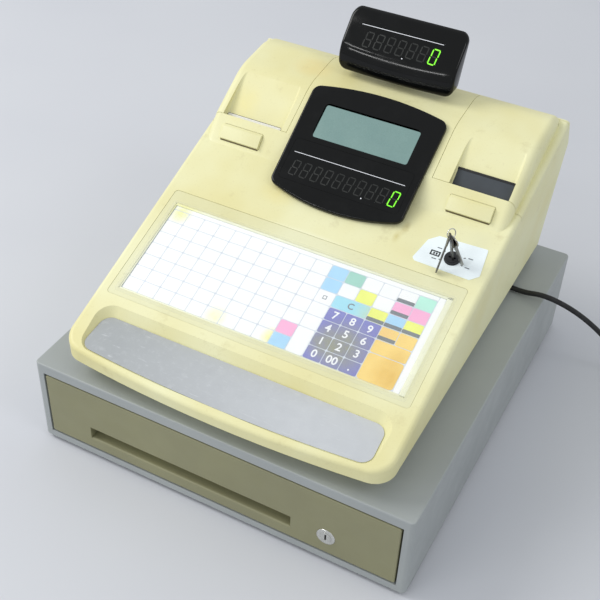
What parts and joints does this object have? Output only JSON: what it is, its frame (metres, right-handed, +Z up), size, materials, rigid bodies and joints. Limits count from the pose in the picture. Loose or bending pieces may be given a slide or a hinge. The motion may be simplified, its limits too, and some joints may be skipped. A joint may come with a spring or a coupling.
{
  "type": "ticket register",
  "caption": "Wedge-shaped ticket register with a flat keyboard, two printer covers and display pods, standing on a steel cash drawer.",
  "frame": {"origin": "on the floor under the middle of the cash drawer cabinet", "axes": "+Z up, -Y towards the operator, +X to the right as seen by the operator"},
  "size_m": [0.638, 0.4939, 0.376],
  "materials": {
    "black_plastic": "fine texture",
    "black_rubber": "matt",
    "board": "green board lacquer",
    "chrome": "polished",
    "clear": "clear moulding",
    "cream": "fine mould texture",
    "cream_light": "fine mould texture",
    "grey_plastic": "dark grey mould texture",
    "key_print": "printed sheet",
    "label": "pale printed plate",
    "lcd": "grey green glass",
    "olive": "olive grey mould texture",
    "paper": "white paper",
    "smoke": "smoked, polished",
    "steel_grey": "satin grey enamel",
    "tray_steel": "dull, lightly worn",
    "zinc": "bright zinc"
  },
  "bodies": {
    "base": {"cabinet_shell": "steel_grey", "cabinet_base": "zinc", "cabinet_feet": "black_rubber", "runners": "zinc", "latch_solenoid": "zinc", "kick_spring": "zinc", "lower_case": "cream_light", "body_feet": "black_rubber", "upper_case": "cream", "change_tray_plate": "tray_steel", "keyboard_frame": "cream_light", "key_board": "board", "key_sheet": "key_print", "keyboard_cover": "clear", "display_bezel": "black_plastic", "display_lens": "smoke", "lcd_module": "lcd", "digit_module": "smoke", "mode_plate": "label", "mode_lock_body": "black_plastic", "receipt_chassis": "zinc", "journal_chassis": "zinc", "main_board": "board", "transformer": "zinc", "display_pole": "black_plastic", "cord_sleeve": "black_rubber", "power_cord": "black_rubber", "cord_coil": "black_rubber", "plug": "black_rubber"},
    "pawl": {"latch_pawl": "zinc"},
    "front_roller_pair": {"front_rollers": "black_plastic"},
    "rear_roller_pair": {"rear_rollers": "black_plastic"},
    "drawer": {"drawer_pan": "zinc", "drawer_rails": "zinc", "drawer_front": "olive", "money_tray": "black_plastic", "drawer_lock_body": "chrome"},
    "drawer_plug": {"drawer_lock_plug": "chrome"},
    "receipt_lid": {"receipt_cover": "cream", "cutter_plate": "grey_plastic"},
    "journal_lid": {"journal_cover": "cream", "journal_window": "paper"},
    "latch_right": {"latch_button_right": "cream"},
    "latch_left": {"latch_button_left": "cream"},
    "mode_plug": {"mode_lock_plug": "chrome", "mode_key": "chrome", "key_ring": "chrome", "spare_keys": "chrome"},
    "customer_head": {"display_head": "black_plastic", "head_window": "smoke", "head_digits": "smoke"},
    "receipt_platen_body": {"receipt_platen": "black_rubber"},
    "journal_platen_body": {"journal_platen": "black_rubber"},
    "receipt_paper": {"receipt_roll": "paper"},
    "journal_paper": {"journal_roll": "paper"},
    "take_up": {"journal_spool": "black_plastic"},
    "clip_1": {"note_clip_1": "black_plastic"},
    "clip_2": {"note_clip_2": "black_plastic"},
    "clip_3": {"note_clip_3": "black_plastic"},
    "clip_4": {"note_clip_4": "black_plastic"}
  },
  "joints": [
    {"name": "drawer_slide", "type": "slide", "parent": "base", "child": "drawer", "axis": [0, -1, 0], "range_m": [0, 0.3]},
    {"name": "front_rollers_turn", "type": "hinge", "parent": "base", "child": "front_roller_pair", "pos_m": [0, -0.202, 0.06212], "axis": [1, 0, 0], "continuous": true},
    {"name": "rear_rollers_turn", "type": "hinge", "parent": "drawer", "child": "rear_roller_pair", "pos_m": [0, 0.19, 0.072], "axis": [1, 0, 0], "continuous": true},
    {"name": "pawl_swing", "type": "hinge", "parent": "base", "child": "pawl", "pos_m": [0.008, 0.216, 0.04], "axis": [0, 0, 1], "range_deg": [0, 12]},
    {"name": "drawer_lock_turn", "type": "hinge", "parent": "drawer", "child": "drawer_plug", "pos_m": [0.128, -0.225, 0.0386], "axis": [0, 1, 0], "range_deg": [0, 90]},
    {"name": "receipt_cover_lift", "type": "hinge", "parent": "base", "child": "receipt_lid", "pos_m": [0.1365, 0.19, 0.298], "axis": [-1, 0, 0], "range_deg": [0, 70]},
    {"name": "journal_cover_lift", "type": "hinge", "parent": "base", "child": "journal_lid", "pos_m": [-0.1365, 0.19, 0.298], "axis": [-1, 0, 0], "range_deg": [0, 70]},
    {"name": "latch_press_right", "type": "slide", "parent": "base", "child": "latch_right", "axis": [0, 0.7582, -0.6521], "range_m": [0, 0.0035], "stiffness_N_per_m": 800},
    {"name": "latch_press_left", "type": "slide", "parent": "base", "child": "latch_left", "axis": [0, 0.7582, -0.6521], "range_m": [0, 0.0035], "stiffness_N_per_m": 800},
    {"name": "mode_turn", "type": "hinge", "parent": "base", "child": "mode_plug", "pos_m": [0.141, 0.00058, 0.22843], "axis": [0, -0.3292, 0.9443], "range_deg": [-90, 60]},
    {"name": "customer_display_turn", "type": "hinge", "parent": "base", "child": "customer_head", "pos_m": [0, 0.182, 0.33], "axis": [0, 0, 1], "range_deg": [-170, 170]},
    {"name": "receipt_platen_turn", "type": "hinge", "parent": "base", "child": "receipt_platen_body", "pos_m": [0.135, 0.098, 0.244], "axis": [1, 0, 0], "continuous": true},
    {"name": "journal_platen_turn", "type": "hinge", "parent": "base", "child": "journal_platen_body", "pos_m": [-0.135, 0.098, 0.244], "axis": [1, 0, 0], "continuous": true},
    {"name": "receipt_roll_turn", "type": "hinge", "parent": "base", "child": "receipt_paper", "pos_m": [0.135, 0.15, 0.214], "axis": [1, 0, 0], "continuous": true},
    {"name": "journal_roll_turn", "type": "hinge", "parent": "base", "child": "journal_paper", "pos_m": [-0.135, 0.15, 0.214], "axis": [1, 0, 0], "continuous": true},
    {"name": "take_up_turn", "type": "hinge", "parent": "base", "child": "take_up", "pos_m": [-0.135, 0.092, 0.196], "axis": [1, 0, 0], "continuous": true},
    {"name": "note_clip_1_lift", "type": "hinge", "parent": "drawer", "child": "clip_1", "pos_m": [-0.14235, 0.176, 0.066], "axis": [-1, 0, 0], "range_deg": [0, 55]},
    {"name": "note_clip_2_lift", "type": "hinge", "parent": "drawer", "child": "clip_2", "pos_m": [-0.04745, 0.176, 0.066], "axis": [-1, 0, 0], "range_deg": [0, 55]},
    {"name": "note_clip_3_lift", "type": "hinge", "parent": "drawer", "child": "clip_3", "pos_m": [0.04745, 0.176, 0.066], "axis": [-1, 0, 0], "range_deg": [0, 55]},
    {"name": "note_clip_4_lift", "type": "hinge", "parent": "drawer", "child": "clip_4", "pos_m": [0.14235, 0.176, 0.066], "axis": [-1, 0, 0], "range_deg": [0, 55]}
  ],
  "couplings": [
    {"joint": "front_rollers_turn", "follows": "drawer_slide", "rad_per_m": 125},
    {"joint": "rear_rollers_turn", "follows": "drawer_slide", "rad_per_m": 93.458}
  ]
}
